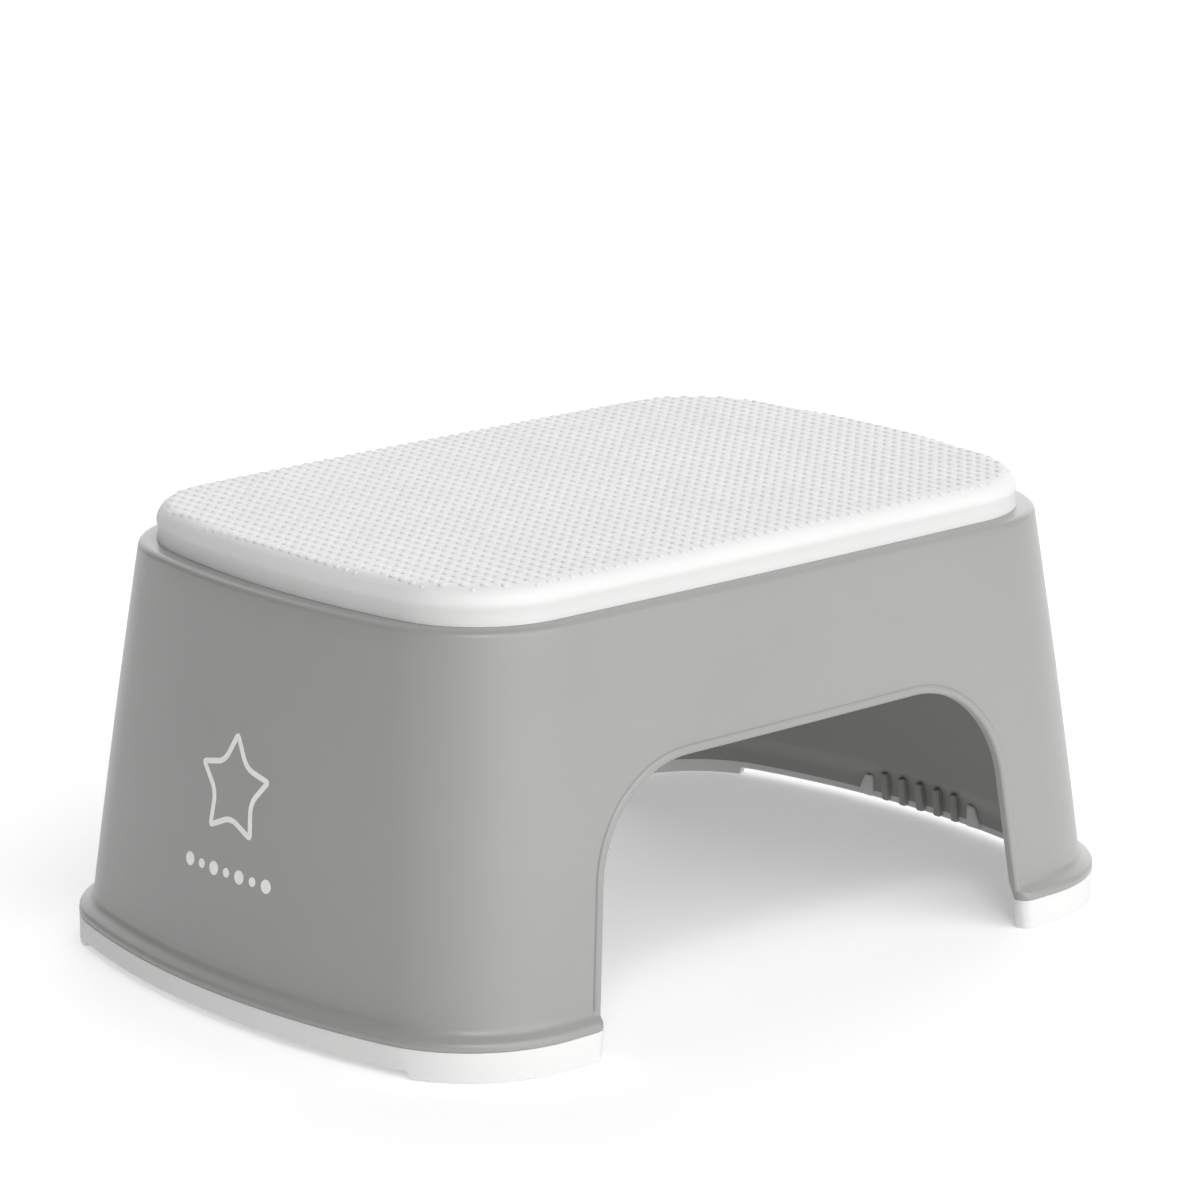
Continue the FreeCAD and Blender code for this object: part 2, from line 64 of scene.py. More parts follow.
# how far the skirt stands out of the foot of the wall, which brings it to the base's outline
SKIRT_PROUD = 5.0 * MM
LEDGE_LEVEL = MAT_BOX[0].z
LEDGE_WIDTH = 6.5 * MM
LEDGE_ROUND = 2.2 * MM
MAT_SKIN = 2.6 * MM
MAT_WAIST = 0.5 * MM
MAT_ROUND = 6.5 * MM
MAT_TOP = MAT_BOX[1].z - 0.3 * MM
PLATEAU_LEVEL = MAT_BOX[1].z - MAT_SKIN
CEILING_LEVEL = PLATEAU_LEVEL - WALL_THICK
RIM_LEVEL = SHELL_BOX[0].z
STRIP_TOP = 11.1 * MM
RIM_INSET = 3.0 * MM
RIM_INNER_INSET = 5.6 * MM
FOOT_LIFT = 2.8 * MM

ARCH_TOP = 97.2 * MM
ARCH_ROUND = 42.5 * MM
ARCH_REACH = 55.5 * MM
ARCH_FOOT = 104.4 * MM
CORNER_ROUND = 4.4 * MM
# how far the shell's rim stops short of an arch, where the strip's end covers it
END_COVER = 0.8 * MM
# where the plain wall takes over from the ring of faces round an arch
ARCH_FRAME = 0.935
ARCH_FRAME_TOP = 108 * MM


# ---------------------------------------------------------------- outlines and the wall


@functools.lru_cache(maxsize=None)
def corner_arc(shape):
    """Centre of an outline's corner arc, and the angles at which it leaves the side and meets the end.

    The arc touches both the side's arc and the end's, which fixes where its centre lies."""
    end_x, side_y = shape.length - shape.end, shape.width - shape.side
    span = math.hypot(end_x, side_y)
    to_end, to_side = shape.end - shape.corner, shape.side - shape.corner
    along = (to_end ** 2 - to_side ** 2 + span ** 2) / (2 * span)
    across = math.sqrt(to_end ** 2 - along ** 2)
    x = end_x + (-end_x * along - side_y * across) / span
    y = (side_y * along - end_x * across) / span
    return x, y, math.atan2(y - side_y, x), math.atan2(y, x - end_x)


def outline_at(shape, place):
    """A point of an outline's first quarter, with its outward direction.

    place is 0 at the middle of the long side, 1 and 2 where the corner starts and stops, and 3 at the
    middle of the end."""
    x, y, side_turn, end_turn = corner_arc(shape)
    if place <= 1:
        centre, radius = Vector((0, shape.width - shape.side, 0)), shape.side
        run = place * radius * math.cos(side_turn)
        point = centre + Vector((run, math.sqrt(radius ** 2 - run ** 2), 0))
    elif place <= 2:
        centre, radius = Vector((x, y, 0)), shape.corner
        angle = side_turn + (end_turn - side_turn) * (place - 1)
        point = centre + radius * Vector((math.cos(angle), math.sin(angle), 0))
    else:
        centre, radius = Vector((shape.length - shape.end, 0, 0)), shape.end
        run = (3 - place) * radius * math.sin(end_turn)
        point = centre + Vector((math.sqrt(radius ** 2 - run ** 2), run, 0))
    return point, (point - centre) / radius


def grown(shape, by):
    """An outline moved outwards all the way round."""
    return Oblong(*(value + by for value in shape))


WALL_FOOT = grown(BASE, -SKIRT_PROUD)
SHOULDER = grown(MAT, LEDGE_WIDTH)


def rise_at(level):
    """How far up the leaning wall a level is, from 0 at its foot to 1 at the ledge."""
    return min(max((level - FOOT_LEVEL) / (LEDGE_LEVEL - FOOT_LEVEL), 0), 1)


def wall_point(place, level, proud, side_x=1, side_y=1):
    """A point of the leaning wall, proud outwards of its smooth face."""
    rise = rise_at(level)
    low, low_out = outline_at(WALL_FOOT, place)
    high, high_out = outline_at(SHOULDER, place)
    outward = low_out.lerp(high_out, rise).normalized()
    point = low.lerp(high, rise) + outward * (proud + WALL_BULGE * math.sin(math.pi * rise))
    return Vector((side_x * point.x, side_y * point.y, level))


def side_length(level):
    """How far the flat of a long side reaches from its middle at a level."""
    return outline_at(WALL_FOOT, 1)[0].lerp(outline_at(SHOULDER, 1)[0], rise_at(level)).x


def side_point(x, level, proud, side_y):
    """A point of a long side, told by its X."""
    return wall_point(abs(x) / side_length(level), level, proud, math.copysign(1, x), side_y)


def spread(low, high, count):
    """count equal steps from low to high, both of them included."""
    return [low + (high - low) * n / count for n in range(count + 1)]


SIDE_STEPS = 4
CORNER_STEPS = 20
END_STEPS = 10
QUARTER = [ARCH_FRAME, 0.97] + spread(1, 2, CORNER_STEPS) + spread(2, 3, END_STEPS)[1:]
# (place, side_y) round one end, from the arch on the near side to the arch on the far side
ROUND_END = [(place, -1) for place in QUARTER] + [(place, 1) for place in reversed(QUARTER[:-1])]


# ---------------------------------------------------------------- meshes


def sheet(bm, columns, rows, place):
    """A grid of faces whose corner in a column and row goes where place(column, row) says."""
    made = bmesh.ops.create_grid(bm, x_segments=columns - 1, y_segments=rows - 1, size=1)["verts"]
    for n, vertex in enumerate(made):
        vertex.co = place(n % columns, n // columns)
    return made


def fill_open_edges(bm):
    """Close every hole that is left."""
    rim = [edge for edge in bm.edges if edge.is_boundary]
    bmesh.ops.edgeloop_fill(bm, edges=rim)


def round_edges(bm, edges, radius):
    """Round some edges; returns the corners that this makes."""
    made = bmesh.ops.bevel(bm, geom=list(edges), offset=radius, segments=3, affect="EDGES", profile=0.5,
                           material=-1)
    return made["verts"]


def add_block(bm, low, high):
    """A plain block between two opposite corners; returns its middle and its eight corners."""
    middle = (low + high) / 2
    size = Vector(abs(value) for value in high - low)
    return middle, bmesh.ops.create_cube(bm, matrix=Matrix.LocRotScale(middle, None, size))["verts"]


def edges_of(vertices):
    """Every edge that ends at one of some corners."""
    return {edge for vertex in vertices for edge in vertex.link_edges}


# corners closer together than this are one corner, in most of the pieces
SAME = 0.02 * MM


def make_piece(bm, name, material, slot, *nodes, merge=SAME, sharp=math.radians(38)):
    """Turn a finished bmesh into a piece of the stool."""
    bmesh.ops.remove_doubles(bm, verts=bm.verts, dist=merge)
    bmesh.ops.recalc_face_normals(bm, faces=bm.faces)
    mesh = bpy.data.meshes.new(name)
    bm.to_mesh(mesh)
    bm.free()
    mesh.shade_smooth()
    mesh.set_sharp_from_angle(angle=sharp)
    mesh.materials.append(material)
    piece = bpy.data.objects.new(name, mesh)
    bpy.context.scene.collection.objects.link(piece)
    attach(piece, "root")
    if nodes:
        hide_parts(*nodes)
    return piece


# ---------------------------------------------------------------- materials


def new_material(name):
    material = bpy.data.materials.new(name)
    material.use_nodes = True
    nodes = material.node_tree.nodes
    return material, nodes, material.node_tree.links, nodes["Principled BSDF"]


def noise(nodes, links, scale, detail=3.0):
    """Noise over the object's own coordinates."""
    where = nodes.new("ShaderNodeTexCoord")
    texture = nodes.new("ShaderNodeTexNoise")
    texture.inputs["Scale"].default_value = scale
    texture.inputs["Detail"].default_value = detail
    links.new(where.outputs["Object"], texture.inputs["Vector"])
    return texture.outputs["Fac"]


def between(nodes, links, fac, low, high):
    """A number that runs from low to high as fac goes over the middle of its range."""
    ramp = nodes.new("ShaderNodeMapRange")
    ramp.inputs["From Min"].default_value = 0.3
    ramp.inputs["From Max"].default_value = 0.7
    ramp.inputs["To Min"].default_value = low
    ramp.inputs["To Max"].default_value = high
    links.new(fac, ramp.inputs["Value"])
    return ramp.outputs["Result"]


def tint(nodes, links, fac, dark, light):
    """A colour that wanders from dark to light with fac."""
    ramp = nodes.new("ShaderNodeValToRGB")
    ramp.color_ramp.elements[0].position = 0.3
    ramp.color_ramp.elements[1].position = 0.7
    ramp.color_ramp.elements[0].color = (*dark, 1)
    ramp.color_ramp.elements[1].color = (*light, 1)
    links.new(fac, ramp.inputs["Fac"])
    return ramp.outputs["Color"]


def bump(nodes, links, height, distance, strength):
    """A surface grain this deep, as a normal."""
    node = nodes.new("ShaderNodeBump")
    node.inputs["Distance"].default_value = distance
    node.inputs["Strength"].default_value = strength
    links.new(height, node.inputs["Height"])
    return node.outputs["Normal"]


def moulded_plastic():
    """Satin polypropylene: faint clouding, a fine spark-eroded grain and slightly uneven gloss."""
    material, nodes, links, shader = new_material("satin_grey_plastic")
    colour = tint(nodes, links, noise(nodes, links, 9), (0.296, 0.301, 0.292), (0.311, 0.316, 0.306))
    links.new(colour, shader.inputs["Base Color"])
    gloss = between(nodes, links, noise(nodes, links, 40), 0.30, 0.35)
    links.new(gloss, shader.inputs["Roughness"])
    grain = bump(nodes, links, noise(nodes, links, 2600, 2), 0.03 * MM, 0.35)
    links.new(grain, shader.inputs["Normal"])
    shader.inputs["Specular IOR Level"].default_value = 0.45
    return material


def soft_rubber(name, light):
    """Matt thermoplastic rubber, a little translucent."""
    material, nodes, links, shader = new_material(name)
    dark = tuple(value * 0.965 for value in light)
    colour = tint(nodes, links, noise(nodes, links, 14), dark, light)
    links.new(colour, shader.inputs["Base Color"])
    gloss = between(nodes, links, noise(nodes, links, 60), 0.50, 0.60)
    links.new(gloss, shader.inputs["Roughness"])
    grain = bump(nodes, links, noise(nodes, links, 1800, 2), 0.04 * MM, 0.4)
    links.new(grain, shader.inputs["Normal"])
    shader.inputs["Specular IOR Level"].default_value = 0.4
    shader.inputs["Subsurface Weight"].default_value = 0.08
    shader.inputs["Subsurface Radius"].default_value = (1.0, 0.95, 0.9)
    shader.inputs["Subsurface Scale"].default_value = 1.2 * MM
    return material


def print_ink():
    """The pale ink of the printed motif, thin and slightly uneven."""
    material, nodes, links, shader = new_material("pale_print_ink")
    colour = tint(nodes, links, noise(nodes, links, 400), (0.80, 0.80, 0.79), (0.86, 0.86, 0.85))
    links.new(colour, shader.inputs["Base Color"])
    gloss = between(nodes, links, noise(nodes, links, 300), 0.45, 0.55)
    links.new(gloss, shader.inputs["Roughness"])
    return material


# ---------------------------------------------------------------- the shell


SKIRT_SLOPE = math.radians(65)
SKIRT_EDGE_ROUND = 0.4 * MM
SKIRT_ROUND = 2.3 * MM
SKIRT_ROUND_LEVEL = 12.3 * MM
SKIRT_ROOT_ROUND = 3.4 * MM
SKIRT_THICK = 0.6 * MM
# the skirt's underside, a hair below the strip's top so that no gap shows between them
SKIRT_BOTTOM = STRIP_TOP - 0.05 * MM
RIM_PROUD = SKIRT_PROUD - RIM_INSET
# how many of the outside's rows are the rim's
RIM_ROWS = 2
# the level from which the wall thickens above the skirt
THICKENS_FROM = 10 * MM


def round_rows(level, proud, radius, start, end, count):
    """(level, proud) along an arc, its angle 0 outwards and a quarter turn upwards."""
    angles = spread(start, end, count - 1)
    return [(level + radius * math.sin(a), proud + radius * math.cos(a)) for a in angles]


def skirt_outside():
    """(level, proud) up the outside of the rim and the skirt.

    They run up the rim inside the strip, out along the skirt's underside, round its edge and up its slope to
    where the plain wall starts."""
    rows = [(RIM_LEVEL, RIM_PROUD), (SKIRT_BOTTOM, RIM_PROUD)]
    rows += round_rows(SKIRT_BOTTOM + SKIRT_EDGE_ROUND, SKIRT_PROUD - SKIRT_EDGE_ROUND, SKIRT_EDGE_ROUND,
                       -math.pi / 2, 0, 2)
    rows += round_rows(SKIRT_ROUND_LEVEL, SKIRT_PROUD - SKIRT_ROUND, SKIRT_ROUND, 0, SKIRT_SLOPE, 4)
    slope_level, slope_proud = rows[-1]
    root_proud = SKIRT_ROOT_ROUND * (1 - math.cos(SKIRT_SLOPE))
    root_level = slope_level + (slope_proud - root_proud) / math.tan(SKIRT_SLOPE)
    top = root_level + SKIRT_ROOT_ROUND * math.sin(SKIRT_SLOPE)
    return rows + round_rows(top, SKIRT_ROOT_ROUND, SKIRT_ROOT_ROUND, SKIRT_SLOPE + math.pi, math.pi, 5)


def skirt_inside():
    """As many rows up the inside, so that the ends at the arches close face by face."""
    outside = skirt_outside()
    top = outside[-1][0]
    rows = []
    for level in spread(RIM_LEVEL, top, len(outside) - 1):
        share = min(max((level - THICKENS_FROM) / (top - THICKENS_FROM), 0), 1)
        ease = share * share * (3 - 2 * share)
        rows.append((level, -SKIRT_THICK - (WALL_THICK - SKIRT_THICK) * ease))
    return rows


# the levels of the rows up the legs, beside the round of an arch and above it
LEG_LEVELS = [level * MM for level in (27, 36, 44, 52, 59.4)]
BEND_LEVELS = spread(LEG_LEVELS[-1], ARCH_FRAME_TOP, 9)[1:]
UPPER_LEVELS = spread(ARCH_FRAME_TOP, LEDGE_LEVEL - LEDGE_ROUND, 6)[1:]
TURN_STEPS = 6


def quarter_turn(level, proud, radius, steps=TURN_STEPS):
    """(level, proud) over a rounded edge, from an upright face below it to a flat one inside it."""
    angles = spread(0, math.pi / 2, steps)[1:]
    return [(level + radius * math.sin(a), proud - radius * (1 - math.cos(a))) for a in angles]


def outside_section():
    """(level, proud) up the whole outside of the shell, to the border of the plateau under the mat.

    One face closes the plateau inside that border."""
    rows = skirt_outside() + [(level, 0) for level in LEG_LEVELS + BEND_LEVELS + UPPER_LEVELS]
    rows += quarter_turn(LEDGE_LEVEL - LEDGE_ROUND, 0, LEDGE_ROUND)
    plateau = -LEDGE_WIDTH - MAT_SKIN
    plateau_round = MAT_ROUND - MAT_SKIN
    rows += [(LEDGE_LEVEL, -LEDGE_WIDTH), (LEDGE_LEVEL, plateau)]
    rows += [(PLATEAU_LEVEL - plateau_round, plateau)]
    rows += quarter_turn(PLATEAU_LEVEL - plateau_round, plateau, plateau_round)
    border = 3 * plateau_round
    return rows + [(PLATEAU_LEVEL, plateau - border)]


def inside_section():
    """The same up the inside, to the border of the ceiling."""
    wall_round = 1.2 * MM
    shelf = LEDGE_LEVEL - WALL_THICK
    rows = skirt_inside() + [(level, -WALL_THICK) for level in LEG_LEVELS + BEND_LEVELS]
    rows += [(min(level, shelf - wall_round), -WALL_THICK) for level in UPPER_LEVELS]
    rows += quarter_turn(shelf - wall_round, -WALL_THICK, wall_round)
    crown = -LEDGE_WIDTH - MAT_SKIN - WALL_THICK
    rows += [(shelf, crown + wall_round), (shelf + wall_round, crown)]
    rows += [(CEILING_LEVEL - wall_round, crown)]
    rows += quarter_turn(CEILING_LEVEL - wall_round, crown, wall_round)
    border = 6 * MM
    return rows + [(CEILING_LEVEL, crown - border)]


# the row at which the frame of an arch crosses over it
FRAME_ROW = len(skirt_outside()) + len(LEG_LEVELS) + len(BEND_LEVELS) - 1
SPAN_COLUMNS = spread(-ARCH_REACH, ARCH_REACH, 12)


def span_places():
    """X across the top of an arch's frame, as shares of the side's length, from left to right."""
    flat = [x / side_length(ARCH_FRAME_TOP) for x in SPAN_COLUMNS]
    bend = spread(flat[-1], ARCH_FRAME, 10)[1:]
    return [-place for place in reversed(bend)] + flat + bend


def arch_edge(x, level):
    """The point of the arch's edge that faces a point of its frame, for X from 0 up.

    The edge is flat over the middle, then round, then a straight leg that leans outwards and touches the
    round."""
    centre = ARCH_TOP - ARCH_ROUND
    away = math.hypot(ARCH_FOOT - ARCH_REACH, centre)
    lean = math.atan2(centre, ARCH_REACH - ARCH_FOOT) - math.asin(ARCH_ROUND / away) - math.pi / 2
    if x <= ARCH_REACH:
        return x, ARCH_TOP
    if level < centre + ARCH_ROUND * math.sin(lean):
        return ARCH_FOOT - level * math.tan(lean), level
    turn = max(math.atan2(level - centre, x - ARCH_REACH), lean)
    return ARCH_REACH + ARCH_ROUND * math.cos(turn), centre + ARCH_ROUND * math.sin(turn)


LIP_WIDTH = 3.2 * MM
LIP_PROUD = 1.0 * MM
LIP_CURL = math.radians(165)
LIP_END_PROUD = 0.25 * MM
# (distance from the arch's edge, proud) over the rolled lip, an oval bead, from the wall to the edge
LIP = [(from_edge * MM, 0) for from_edge in (6.0, 4.4, 3.5)]
LIP += [(LIP_WIDTH / 2 * (1 + math.cos(turn)), LIP_PROUD * math.sin(turn)) for turn in spread(0, LIP_CURL, 8)]
# how far through the wall each row of the edge's own face is, and how far behind the edge the rows inside are
EDGE_FACE = (0.04, 0.35, 0.7, 0.96)
BEHIND_LIP = [from_edge * MM for from_edge in (0.25, 1.2, 3.0, 6.0)]
# how much further in than the skirt the rim keeps where the corner beside an arch is rounded
RIM_CORNER_INSET = 1.6 * MM


def corner_drop(from_edge):
    """How much the skirt's rounded corner takes off its reach beside an arch."""
    short = max(CORNER_ROUND - from_edge, 0)
    return CORNER_ROUND - math.sqrt(CORNER_ROUND ** 2 - short ** 2)


def make_arch(bm, side_y, outside, inside):
    """The ring of faces round one arch: frame, rolled lip, edge and back."""
    legs = list(range(FRAME_ROW))
    across = span_places()
    # (X as a share of the side's length, row) along the frame, up one leg, across and down the other
    chain = [(-ARCH_FRAME, row) for row in legs]
    chain += [(place, FRAME_ROW) for place in across]
    chain += [(ARCH_FRAME, row) for row in reversed(legs)]
    # (distance from the edge, depth through the wall, least proud outside) from the frame round to the back
    steps = [(from_edge, 0, proud) for from_edge, proud in LIP]
    steps += [(0, depth, LIP_END_PROUD) for depth in EDGE_FACE]
    steps += [(from_edge, 1, 0) for from_edge in BEHIND_LIP]

    def near_edge(place, row, section, from_edge):
        """X, level and the row's own proud at a distance from the edge."""
        level, proud = section[row]
        x = abs(place) * side_length(level)
        edge_x, edge_level = arch_edge(x, level)
        out = Vector((x - edge_x, level - edge_level)).normalized()
        if level < STRIP_TOP and proud <= RIM_PROUD:
            from_edge += END_COVER
        return edge_x + out.x * from_edge, edge_level + out.y * from_edge, proud

    def outside_proud(row, proud, from_edge, lip):
        """How proud the outside stands at a distance from the edge, with the skirt's corner rounded off."""
        if row < RIM_ROWS:
            return min(proud, SKIRT_PROUD - corner_drop(from_edge) - RIM_CORNER_INSET)
        return max(proud - corner_drop(from_edge), lip)

    def point(column, step):
        place, row = chain[column]
        if step in (0, len(steps) + 1):
            section = inside if step else outside
            return wall_point(abs(place), *section[row], math.copysign(1, place), side_y)
        from_edge, depth, lip = steps[step - 1]
        x, level, proud = near_edge(place, row, outside, from_edge)
        outer = x, level, outside_proud(row, proud, from_edge, lip)
        inner = near_edge(place, row, inside, from_edge)
        x, level, proud = (a + (b - a) * depth for a, b in zip(outer, inner))
        return side_point(math.copysign(x, place), level, proud, side_y)

    sheet(bm, len(chain), len(steps) + 2, point)


def make_shell(material):
    """The rigid shell: its ends, the parts above the arches and the ring round each arch, inside and out."""
    bm = bmesh.new()
    outside, inside = outside_section(), inside_section()
    across = span_places()
    bottom = (outside[0], inside[0])
    for section in (outside, inside, bottom):
        for side_x in (-1, 1):
            sheet(bm, len(ROUND_END), len(section), lambda column, row: wall_point(
                ROUND_END[column][0], *section[row], side_x, ROUND_END[column][1]))
    for section in (outside[FRAME_ROW:], inside[FRAME_ROW:]):
        for side_y in (-1, 1):
            sheet(bm, len(across), len(section), lambda column, row: wall_point(
                abs(across[column]), *section[row], math.copysign(1, across[column]), side_y))
    for side_y in (-1, 1):
        make_arch(bm, side_y, outside, inside)
    bmesh.ops.remove_doubles(bm, verts=bm.verts, dist=SAME)
    fill_open_edges(bm)
    return make_piece(bm, "stool_shell", material, "shell_plastic", "stool_body")


GRIP_COUNT = 5
GRIP_PITCH = 9.6 * MM
RIB_TIP = BASE.length - 7.8 * MM
RIB_ROOT = BASE.length - 4.4 * MM
RIB_BOTTOM = FOOT_LIFT + 0.3 * MM
RIB_TOP = RIM_LEVEL + 9.2 * MM
RIB_THICK = 3.4 * MM
RIB_ROUND = 0.7 * MM
# how far a rib's top leans in, to stay inside the wall
RIB_LEAN = 1.2 * MM


def make_grip_ribs(material, side, side_x):
    """The row of finger ribs inside one end of the skirt."""
    bm = bmesh.new()
    for n in range(GRIP_COUNT):
        y = GRIP_PITCH * (n - (GRIP_COUNT - 1) / 2)
        middle, rib = add_block(bm, Vector((side_x * RIB_TIP, y - RIB_THICK / 2, RIB_BOTTOM)),
                                Vector((side_x * RIB_ROOT, y + RIB_THICK / 2, RIB_TOP)))
        upper = [vertex for vertex in rib if vertex.co.z > middle.z]
        bmesh.ops.translate(bm, vec=(-side_x * RIB_LEAN, 0, 0), verts=upper)
        round_edges(bm, edges_of(rib), RIB_ROUND)
    return make_piece(bm, "grip_ribs_" + side, material, "shell_plastic")


def reach_along_x(shape, y):
    """Half the length of an outline at a distance from its long middle line."""
    corner_x, corner_y, _, end_turn = corner_arc(shape)
    if abs(y) <= shape.end * math.sin(end_turn):
        return shape.length - shape.end + math.sqrt(shape.end ** 2 - y ** 2)
    return corner_x + math.sqrt(shape.corner ** 2 - (abs(y) - corner_y) ** 2)


TREAD_RIB_DEPTH = 9 * MM
TREAD_RIB_THICK = 2.2 * MM
TREAD_RIB_FOOT_THICK = 1.6 * MM
TREAD_RIB_ROUND = 0.5 * MM
TREAD_RIB_PITCH_X = 46 * MM
TREAD_RIB_PITCH_Y = 44 * MM
# how far the ribs' ends and tops run into the shell
TREAD_RIB_END_SUNK = 0.4 * MM
TREAD_RIB_TOP_SUNK = 0.2 * MM


def make_tread_ribs(material):
    """The stiffening grid under the tread, each rib tapering to a rounded foot."""
    bm = bmesh.new()
    crown = grown(MAT, TREAD_RIB_END_SUNK - MAT_SKIN - WALL_THICK)
    middle = CEILING_LEVEL - TREAD_RIB_DEPTH / 2 + TREAD_RIB_TOP_SUNK
    rows = [n * TREAD_RIB_PITCH_Y for n in range(-1, 2)]
    columns = [n * TREAD_RIB_PITCH_X for n in range(-2, 3)]
    ribs = [(0, y, 2 * reach_along_x(crown, y), 0) for y in rows]
    ribs += [(x, 0, 2 * crown.width, math.pi / 2) for x in columns]
    for x, y, length, turn in ribs:
        size = Matrix.Diagonal((length, TREAD_RIB_THICK, TREAD_RIB_DEPTH, 1))
        made = bmesh.ops.create_cube(bm, matrix=size)["verts"]
        foot = [vertex for vertex in made if vertex.co.z < 0]
        bmesh.ops.scale(bm, vec=(1, TREAD_RIB_FOOT_THICK / TREAD_RIB_THICK, 1), verts=foot)
        along = [edge for edge in edges_of(foot) if all(v.co.z < 0 for v in edge.verts)
                 and edge.calc_length() > TREAD_RIB_DEPTH]
        made += round_edges(bm, along, TREAD_RIB_ROUND)
        place = Matrix.Translation((x, y, middle)) @ Matrix.Rotation(turn, 4, "Z")
        bmesh.ops.transform(bm, matrix=place, verts=list({v for v in made if v.is_valid}))
    return make_piece(bm, "tread_ribs", material, "shell_plastic", merge=0.001 * MM)


# ---------------------------------------------------------------- the tread mat


MAT_FOOT_ROUND = 0.12 * MM
# how far in from its rounded edge the mat's flat top is closed by one face
MAT_BORDER = 4 * MM


def mat_rows():
    """(level, proud of the mat's outline) from under the skin's foot, over the edge to the top."""
    low, high = LEDGE_LEVEL + MAT_FOOT_ROUND, MAT_TOP - MAT_ROUND
    rows = [(LEDGE_LEVEL, -MAT_SKIN), (LEDGE_LEVEL, -MAT_FOOT_ROUND)]
    rows += [(low + (high - low) * share, -MAT_WAIST * math.sin(math.pi * share))
             for share in spread(0, 1, 8)]
    rows += quarter_turn(MAT_TOP - MAT_ROUND, 0, MAT_ROUND, 10)
    return rows + [(MAT_TOP, -MAT_ROUND - MAT_BORDER)]


def mat_point(place, level, proud, side_x, side_y):
    """A point of the mat, proud outwards of its outline."""
    point, outward = outline_at(MAT, place)
    point = point + outward * proud
    return Vector((side_x * point.x, side_y * point.y, level))


def whole_round():
    """(place, side_x, side_y) all the way round an outline, its last the same as its first."""
    quarter = spread(0, 1, SIDE_STEPS)[:-1] + spread(1, 2, CORNER_STEPS)[:-1] + spread(2, 3, END_STEPS)
    first = [(place, 1, 1) for place in quarter]
    second = [(place, 1, -1) for place in reversed(quarter)]
    third = [(place, -1, -1) for place in quarter]
    fourth = [(place, -1, 1) for place in reversed(quarter)]
    return first + second[1:] + third[1:] + fourth[1:]


def make_mat(material):
    """The mat as a closed skin over the plateau on top of the shell."""
    bm = bmesh.new()
    rows, around = mat_rows(), whole_round()
    inner_round = MAT_ROUND - MAT_SKIN
    under = [(LEDGE_LEVEL, -MAT_SKIN), (PLATEAU_LEVEL - inner_round, -MAT_SKIN)]
    under += quarter_turn(PLATEAU_LEVEL - inner_round, -MAT_SKIN, inner_round)
    for section in (rows, under):
        sheet(bm, len(around), len(section), lambda column, row: mat_point(
            around[column][0], *section[row], *around[column][1:]))
    bmesh.ops.remove_doubles(bm, verts=bm.verts, dist=SAME)
    fill_open_edges(bm)
    return make_piece(bm, "tread_mat_skin", material, "soft_white", "tread_mat")


BUMP_PITCH_X = 5.1 * MM
BUMP_PITCH_Y = 4.9 * MM
BUMP_RADIUS = 1.7 * MM
BUMP_HEIGHT = 0.46 * MM
# the field stops this far inside the mat's outline; a bump there is this share of its full size, and bumps
# grow at the rate of a whole size over the fade's distance
BUMP_MARGIN = 2.8 * MM
BUMP_SMALLEST = 0.5
BUMP_FADE = 5 * MM
BUMP_SIDES = 8


def inside_outline(shape, x, y):
    """How far inside an outline a point is, and the outward direction there."""
    corner_x, corner_y, side_turn, end_turn = corner_arc(shape)
    point = Vector((abs(x), abs(y), 0))
    from_end = point - Vector((shape.length - shape.end, 0, 0))
    from_side = point - Vector((0, shape.width - shape.side, 0))
    # (inset, way from the centre) for each arc whose sector the point is in
    arcs = []
    if math.atan2(from_end.y, from_end.x) < end_turn:
        arcs.append((shape.end - from_end.length, from_end))
    if math.atan2(from_side.y, from_side.x) > side_turn:
        arcs.append((shape.side - from_side.length, from_side))
    if not arcs:
        from_corner = point - Vector((corner_x, corner_y, 0))
        arcs.append((shape.corner - from_corner.length, from_corner))
    inset, way = min(arcs, key=lambda arc: arc[0])
    outward = way.normalized()
    return inset, Vector((math.copysign(outward.x, x), math.copysign(outward.y, y), 0))


# (share of the radius, share of the height) of each ring over a bump
BUMP_RINGS = ((1.0, 0.06), (0.82, 0.46), (0.56, 0.82), (0.26, 1.0))
# how far a bump's flat underside is sunk in the mat
BUMP_SUNK = 0.1 * MM


def bump_template():
    """One low round bump with a flat underside.

    The insets only add the inner rings' corners; BUMP_RINGS then says where every ring goes."""
    bm = bmesh.new()
    bmesh.ops.create_circle(bm, cap_ends=True, segments=BUMP_SIDES, radius=BUMP_RADIUS)
    cap = bm.faces[:]
    for vertex in bm.verts:
        vertex.co.z = -BUMP_SUNK
    lid = bmesh.ops.extrude_face_region(bm, geom=cap)["geom"]
    cap = [item for item in lid if isinstance(item, bmesh.types.BMFace)]
    for number, (share, height) in enumerate(BUMP_RINGS):
        if number:
            bmesh.ops.inset_region(bm, faces=cap, thickness=BUMP_RADIUS * 0.1, use_boundary=True)
        for vertex in cap[0].verts:
            flat = vertex.co.xy.normalized() * BUMP_RADIUS * share
            vertex.co = (*flat, BUMP_HEIGHT * height)
    bmesh.ops.recalc_face_normals(bm, faces=bm.faces)
    mesh = bpy.data.meshes.new("bump")
    bm.to_mesh(mesh)
    bm.free()
    return mesh


